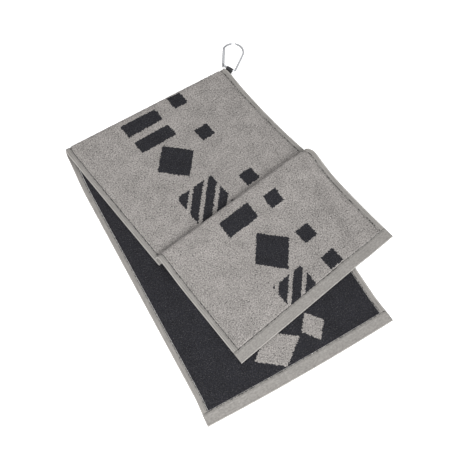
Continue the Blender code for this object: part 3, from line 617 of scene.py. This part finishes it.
def hem_half(depth, width, along):
    """Half thickness of a hem at a depth from its outer edge.

    Round at both edges, rolled at the outer one, with fine ribs, a groove under the stitches and a ridge
    inside it that puckers from stitch to stitch.
    """
    near_edge = np.clip(np.minimum(depth, width - depth) / RIM_RADIUS, 0, 1)
    round_off = np.sqrt(np.clip(1 - (1 - near_edge) ** 2, 0, 1))
    roll = ROLL_HEIGHT * np.exp(-((depth - ROLL_DEPTH) / ROLL_SPREAD) ** 2)
    ribs = RIB_HEIGHT * np.cos(2 * np.pi * depth / RIB_PITCH)
    groove = -GROOVE_DEPTH * np.exp(-((width - depth - SEAM_INSET) / GROOVE_SPREAD) ** 2)
    ridge = RIDGE_HEIGHT * np.exp(-((width - depth - SEAM_INSET - RIDGE_OFFSET) / RIDGE_SPREAD) ** 2)
    pucker = PUCKER_HEIGHT * np.sin(2 * np.pi * along / PUCKER_PITCH)
    pucker = pucker * ease((depth - PUCKER_START * width) / (PUCKER_RAMP * width))
    relief = roll + ribs + groove + ridge + pucker
    return (HEM_HALF - HEM_SINK) * mix(RIM_SHARE, 1, round_off) + relief * round_off


def hem_depths(width):
    """Rows of a hem, as depths from its outer edge: close together at both edges and even between them."""
    rows = np.arange(ROW_START, width - 2 * ROW_STEP, ROW_STEP)
    return np.concatenate([RIM_DEPTHS, rows, width - RIM_DEPTHS[::-1]])


side_start = END_HEM_WIDTH + HEM_JOIN_GAP
side_runs = np.linspace(side_start, CLOTH_LENGTH - END_HEM_WIDTH - HEM_JOIN_GAP, SIDE_ROWS)
for side_name, side in (("left", -1), ("right", 1)):
    edge_places = np.sort(side * (HALF_WIDTH - hem_depths(SIDE_HEM_WIDTH)))
    along_grid, place_grid = np.meshgrid(side_runs, edge_places, indexing="ij")
    half = hem_half(HALF_WIDTH - np.abs(place_grid), SIDE_HEM_WIDTH, along_grid)
    hem = cloth_body(f"{side_name}_hem_band", side_runs, edge_places, half, half, [side_hem_cloth])
    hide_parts(f"{side_name}_side_hem")
    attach(hem, "towel")

end_places = np.linspace(-HALF_WIDTH, HALF_WIDTH, END_ROWS)
for end_name, outer_run, way in (("under", 0.0, 1), ("upper", CLOTH_LENGTH, -1)):
    run_places = np.sort(outer_run + way * hem_depths(END_HEM_WIDTH))
    along_grid, place_grid = np.meshgrid(run_places, end_places, indexing="ij")
    half = hem_half(np.abs(along_grid - outer_run), END_HEM_WIDTH, place_grid)
    corner = np.sqrt(np.clip((HALF_WIDTH - np.abs(place_grid)) / HEM_CORNER, 0, 1))
    half = half * mix(HEM_CORNER_SHARE, 1, corner)
    hem = cloth_body(f"{end_name}_hem_band", run_places, end_places, half, half, [end_hem_cloth])
    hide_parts(f"{end_name}_end_hem")
    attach(hem, "towel")


# ---------------------------------------------------------------------------------------------------------
# Hem stitching
# Lockstitch in light grey thread, 2 mm in from each hem's inner edge. Each row has a needle thread on the
# front and a bobbin thread on the reverse, and each stitch is one short rounded spindle.

STITCH_PITCH = 0.0030
STITCH_LENGTH = 0.0024
STITCH_LIFT = 0.00085
STITCH_HALF_WIDTH = 0.00033
STITCH_HALF_HEIGHT = 0.00024
STITCH_SIDES = 6
SIDE_SEAM_START, END_SEAM_START = 0.002, 0.004


def make_thread(name, colour):
    """Spun thread with a fine twist."""
    material, tree, shader = new_material(name)
    place = add(tree, "ShaderNodeTexCoord").outputs["Object"]
    twist = add(tree, "ShaderNodeTexNoise", {"Vector": place, "Scale": 2600.0, "Detail": 1.0})
    shade = sums(tree, "MULTIPLY_ADD", twist.outputs["Fac"], 0.4, 0.8)
    tree.links.new(shade_colour(tree, colour, shade), shader.inputs["Base Color"])
    shader.inputs["Roughness"].default_value = 0.7
    return material


seam_thread = make_thread("seam_thread", (0.20, 0.19, 0.18))


def stitch_row(name, run, across, run_step, across_step, lift, node):
    """Row of stitches. Each is a ball of 6 by 4 facets, drawn out along the seam to the stitch's length."""
    middle = lay(run, across, lift)
    along = lay(run + run_step, across + across_step, lift) - middle
    along /= np.linalg.norm(along, axis=1, keepdims=True)
    normal = lay(run, across, lift + PROBE) - middle
    normal /= np.linalg.norm(normal, axis=1, keepdims=True)
    aside = np.cross(normal, along)
    round_angle = np.arange(STITCH_SIDES) * 2 * np.pi / STITCH_SIDES
    ring_angle = np.array([0.25, 0.5, 0.75]) * np.pi
    rings = np.stack([
        np.repeat(-np.cos(ring_angle), STITCH_SIDES),
        np.outer(np.sin(ring_angle), np.cos(round_angle)).ravel(),
        np.outer(np.sin(ring_angle), np.sin(round_angle)).ravel(),
    ], 1)
    half_sizes = np.array([STITCH_LENGTH / 2, STITCH_HALF_WIDTH, STITCH_HALF_HEIGHT])
    ball = np.concatenate([[[-1, 0, 0]], rings, [[1, 0, 0]]]) * half_sizes
    points = middle[:, None] + ball[None, :, 0:1] * along[:, None] + ball[None, :, 1:2] * aside[:, None]
    points = points + ball[None, :, 2:3] * normal[:, None]
    corner = np.arange(STITCH_SIDES)
    after = np.roll(corner, -1)
    tip = len(ball) - 1
    last_ring = tip - STITCH_SIDES
    faces = [[0, 1 + b, 1 + a] for a, b in zip(corner, after)]
    faces += [[tip, last_ring + a, last_ring + b] for a, b in zip(corner, after)]
    for start in (1, 1 + STITCH_SIDES):
        up = start + STITCH_SIDES
        for a, b in zip(corner, after):
            faces += [[start + a, start + b, up + b], [start + a, up + b, up + a]]
    faces = np.array(faces)
    all_faces = (faces[None] + len(ball) * np.arange(len(middle))[:, None, None]).reshape(-1, 3)
    uv = np.zeros((len(middle) * len(ball), 2))
    obj = mesh_object(name, points.reshape(-1, 3), all_faces, uv, [seam_thread])
    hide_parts(node)
    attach(obj, "towel")


seam_end = CLOTH_LENGTH - END_HEM_WIDTH - SIDE_SEAM_START
seam_runs = np.arange(END_HEM_WIDTH + SIDE_SEAM_START, seam_end, STITCH_PITCH)
seam_acrosses = np.arange(-HALF_WIDTH + END_SEAM_START, HALF_WIDTH - END_SEAM_START, STITCH_PITCH)
side_seam = HALF_WIDTH - SIDE_HEM_WIDTH + SEAM_INSET
end_seam = END_HEM_WIDTH - SEAM_INSET
for face_name, lift in (("needle", STITCH_LIFT), ("bobbin", -STITCH_LIFT)):
    for row_name, place in (("left", -side_seam), ("right", side_seam)):
        stitch_row(
            f"{row_name}_{face_name}_stitches", seam_runs, np.full(len(seam_runs), place), PROBE, 0, lift,
            f"{row_name}_{face_name}_thread",
        )
    for row_name, place in (("under_end", end_seam), ("upper_end", CLOTH_LENGTH - end_seam)):
        stitch_row(
            f"{row_name}_{face_name}_stitches", np.full(len(seam_acrosses), place), seam_acrosses, 0, PROBE,
            lift, f"{row_name}_{face_name}_thread",
        )


# ---------------------------------------------------------------------------------------------------------
# Hanging loop
# Half-inch black webbing, passed round the carabiner's bar, with both tails sewn in between the layers at
# the main fold. The strap follows one path, and its face is ribbed across.

STRAP_WIDTH = 0.0125
STRAP_HALF = 0.00050
STRAP_SLIDE = 0.002
BAR_RADIUS = 0.0018
BAR_GAP = 0.0003
RING_REACH = 2.3
TAIL_START, TAIL_END = 0.0040, 0.0190
LOW_TAIL_HEIGHT, HIGH_TAIL_HEIGHT = -0.00245, -0.00135
RING_POINTS, TAIL_POINTS, PATH_POINTS, TAPE_POINTS = 60, 40, 180, 31
SMOOTHING_PASSES = 14
TAPE_SQUARENESS = 12
TAPE_RIM_SHARE = 0.3
TAPE_RIB_HEIGHT, TAPE_RIB_PITCH, TAPE_WARPS = 0.00005, 0.0009, 7
joints = frame["record"]["behaviour"]["joints"]
loop_joint = next(joint for joint in joints if joint["name"] == "carabiner_swing")
bar_place = np.array(loop_joint["pos_m"])
bar_line = np.array(loop_joint["axis"])
outward = np.array([-bar_line[1], bar_line[0], 0.0])
upward = np.array([0.0, 0.0, 1.0])


def make_webbing():
    """Black woven tape: ribs across, broken up by the warp, with dull painted highlights on the rib tops."""
    material, tree, shader = new_material("loop_webbing")
    place = add(tree, "ShaderNodeUVMap", uv_map="cloth").outputs[0]
    ribs = add(
        tree, "ShaderNodeTexWave", {"Vector": place, "Scale": 260.0, "Distortion": 1.0},
        bands_direction="Y",
    )
    warp = add(
        tree, "ShaderNodeTexWave", {"Vector": place, "Scale": 220.0, "Distortion": 0.6},
        bands_direction="X",
    )
    height = sums(tree, "MULTIPLY", ribs.outputs["Fac"], warp.outputs["Fac"])
    # Painted highlight and shade: the colour is lighter on the rib tops and darker between the ribs.
    shade = sums(tree, "MULTIPLY_ADD", height, 1.4, 0.6)
    tree.links.new(shade_colour(tree, (0.014, 0.014, 0.016), shade), shader.inputs["Base Color"])
    bump = add(tree, "ShaderNodeBump", {"Height": height, "Strength": 0.6, "Distance": 0.0002})
    tree.links.new(bump.outputs[0], shader.inputs["Normal"])
    shader.inputs["Roughness"].default_value = 0.72
    return material


ring_radius = BAR_RADIUS + BAR_GAP + STRAP_HALF
ring_turn = np.linspace(-RING_REACH, RING_REACH, RING_POINTS)
ring_path = np.stack([ring_radius * np.cos(ring_turn), ring_radius * np.sin(ring_turn)], 1)
tail_out = -np.linspace(TAIL_START, TAIL_END, TAIL_POINTS)
low_tail = np.stack([tail_out[::-1], np.full(TAIL_POINTS, LOW_TAIL_HEIGHT)], 1)
high_tail = np.stack([tail_out, np.full(TAIL_POINTS, HIGH_TAIL_HEIGHT)], 1)
strap_path = np.concatenate([low_tail, ring_path, high_tail])
path_run = np.concatenate([[0], np.cumsum(np.linalg.norm(np.diff(strap_path, axis=0), axis=1))])
even_run = np.linspace(0, path_run[-1], PATH_POINTS)
strap_path = np.stack([np.interp(even_run, path_run, strap_path[:, axis]) for axis in (0, 1)], 1)
for _ in range(SMOOTHING_PASSES):
    strap_path[1:-1] = (strap_path[:-2] + 2 * strap_path[1:-1] + strap_path[2:]) / 4
path_way = np.gradient(strap_path, axis=0)
path_way /= np.linalg.norm(path_way, axis=1, keepdims=True)
path_out = np.stack([path_way[:, 1], -path_way[:, 0]], 1)
tape_side = np.linspace(-1, 1, TAPE_POINTS)
tape_round = np.sqrt(np.clip(1 - np.abs(tape_side) ** TAPE_SQUARENESS, 0, 1))
rib_wave = np.sin(2 * np.pi * even_run / TAPE_RIB_PITCH)
rib_lift = TAPE_RIB_HEIGHT * np.outer(rib_wave, np.cos(2 * np.pi * tape_side * TAPE_WARPS))


def tape_face(way):
    """One face of the tape: the path, carried along the bar's line and lifted to one side, with its ribs."""
    lift = way * (STRAP_HALF * mix(TAPE_RIM_SHARE, 1, tape_round)[None, :] + rib_lift)
    flat = strap_path[:, None] + path_out[:, None] * lift[..., None]
    slide = STRAP_SLIDE + tape_side * STRAP_WIDTH / 2
    return bar_place + flat[..., 0:1] * outward + flat[..., 1:2] * upward + slide[None, :, None] * bar_line


strap_faces = sheet_faces(np.arange(PATH_POINTS * TAPE_POINTS).reshape(PATH_POINTS, TAPE_POINTS))
strap_points = np.concatenate([tape_face(1).reshape(-1, 3), tape_face(-1).reshape(-1, 3)])
tape_places = np.broadcast_arrays(tape_side[None, :] * STRAP_WIDTH / 2, even_run[:, None])
strap_uv = np.stack(tape_places, -1).reshape(-1, 2)
strap = mesh_object(
    "webbing_strap", strap_points, np.concatenate(strap_faces), np.tile(strap_uv, (2, 1)), [make_webbing()],
)
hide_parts("hanging_loop")
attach(strap, "towel")


# ---------------------------------------------------------------------------------------------------------
# Carabiner and its gate
# Polished aluminium rod and tube, with steel pins. The shapes are the frame's own, and get a polished finish
# with faint drawing marks and a little handling wear.


def make_metal(name, colour, roughness):
    """Polished metal: faint fine marks in the roughness, and a slight ripple."""
    material, tree, shader = new_material(name)
    place = add(tree, "ShaderNodeTexCoord").outputs["Object"]
    marks = add(tree, "ShaderNodeTexNoise", {"Vector": place, "Scale": 900.0, "Detail": 3.0})
    drift = add(tree, "ShaderNodeTexNoise", {"Vector": place, "Scale": 120.0, "Detail": 2.0})
    rough = sums(tree, "MULTIPLY_ADD", marks.outputs["Fac"], 0.16, roughness - 0.08)
    tree.links.new(rough, shader.inputs["Roughness"])
    shade = sums(tree, "MULTIPLY_ADD", drift.outputs["Fac"], 0.16, 0.92)
    tree.links.new(shade_colour(tree, colour, shade), shader.inputs["Base Color"])
    bump = add(tree, "ShaderNodeBump", {"Height": marks.outputs["Fac"], "Strength": 0.08, "Distance": 0.0001})
    tree.links.new(bump.outputs[0], shader.inputs["Normal"])
    shader.inputs["Metallic"].default_value = 1.0
    return material


bright_metal = make_metal("bright_metal", (0.30, 0.305, 0.315), 0.17)
pin_steel = make_metal("pin_steel", (0.15, 0.15, 0.155), 0.32)
metal_nodes = {
    "carabiner_body": bright_metal,
    "carabiner_gate": bright_metal,
    "gate_pivot_rivet": pin_steel,
    "gate_latch_pin": pin_steel,
    "gate_spring": pin_steel,
    "spring_plunger": pin_steel,
    "loop_bar_tack": make_thread("tack_thread", (0.016, 0.016, 0.018)),
}
for node_name, finish in metal_nodes.items():
    bpy.data.objects[node_name].data.materials.clear()
    bpy.data.objects[node_name].data.materials.append(finish)


# ---------------------------------------------------------------------------------------------------------
# Floor, light and camera

FLOOR_HALF = 6
FLOOR_HEIGHT = -0.0002

floor_mesh = bpy.data.meshes.new("floor")
floor_ends = ((-1, -1), (1, -1), (1, 1), (-1, 1))
floor_corners = [(x * FLOOR_HALF, y * FLOOR_HALF, FLOOR_HEIGHT) for x, y in floor_ends]
floor_mesh.from_pydata(floor_corners, [], [(0, 1, 2, 3)])
floor = bpy.data.objects.new("floor", floor_mesh)
bpy.context.scene.collection.objects.link(floor)
floor_paint, _, floor_shader = new_material("floor_paint")
floor_shader.inputs["Base Color"].default_value = (0.93, 0.93, 0.93, 1)
floor_shader.inputs["Roughness"].default_value = 0.9
floor_shader.inputs["Emission Color"].default_value = (1, 1, 1, 1)
floor_shader.inputs["Emission Strength"].default_value = 0.35
floor_mesh.materials.append(floor_paint)
bpy.context.scene.view_settings.view_transform = "Standard"

world = bpy.data.worlds.new("studio")
bpy.context.scene.world = world
world.use_nodes = True
sky_tree = world.node_tree
sky_place = add(sky_tree, "ShaderNodeTexCoord").outputs["Generated"]
sky_height = add(sky_tree, "ShaderNodeSeparateXYZ", {0: sky_place}).outputs["Z"]
sky_share = add(sky_tree, "ShaderNodeMapRange", {"Value": sky_height, "From Min": 0.05, "From Max": 0.45})
sky = sky_tree.nodes["Background"]
sky_colour = mix_colours(sky_tree, sky_share.outputs[0], (0.10, 0.10, 0.11), (1, 1, 1))
sky_tree.links.new(sky_colour, sky.inputs["Color"])
sky.inputs["Strength"].default_value = 1.04


def soft_box(name, place, size, power):
    """Square area light that faces the middle of the object."""
    lamp = bpy.data.lights.new(name, "AREA")
    lamp.size = size
    lamp.energy = power
    obj = bpy.data.objects.new(name, lamp)
    obj.location = place
    obj.rotation_euler = (-Vector(place)).to_track_quat("-Z", "Y").to_euler()
    bpy.context.scene.collection.objects.link(obj)


soft_box("key_light", (-0.75, -1.20, 0.90), 0.8, 36)
soft_box("fill_light", (0.7, 0.8, 1.7), 1.6, 12)

camera_data = bpy.data.cameras.new("camera")
camera_data.lens = 56.35
camera = bpy.data.objects.new("camera", camera_data)
camera.location = (-0.2529, -0.4414, 1.0766)
aim = Vector((-0.0227, -0.0337, 0.0)) - camera.location
camera.rotation_euler = aim.to_track_quat("-Z", "Y").to_euler()
bpy.context.scene.collection.objects.link(camera)
bpy.context.scene.camera = camera
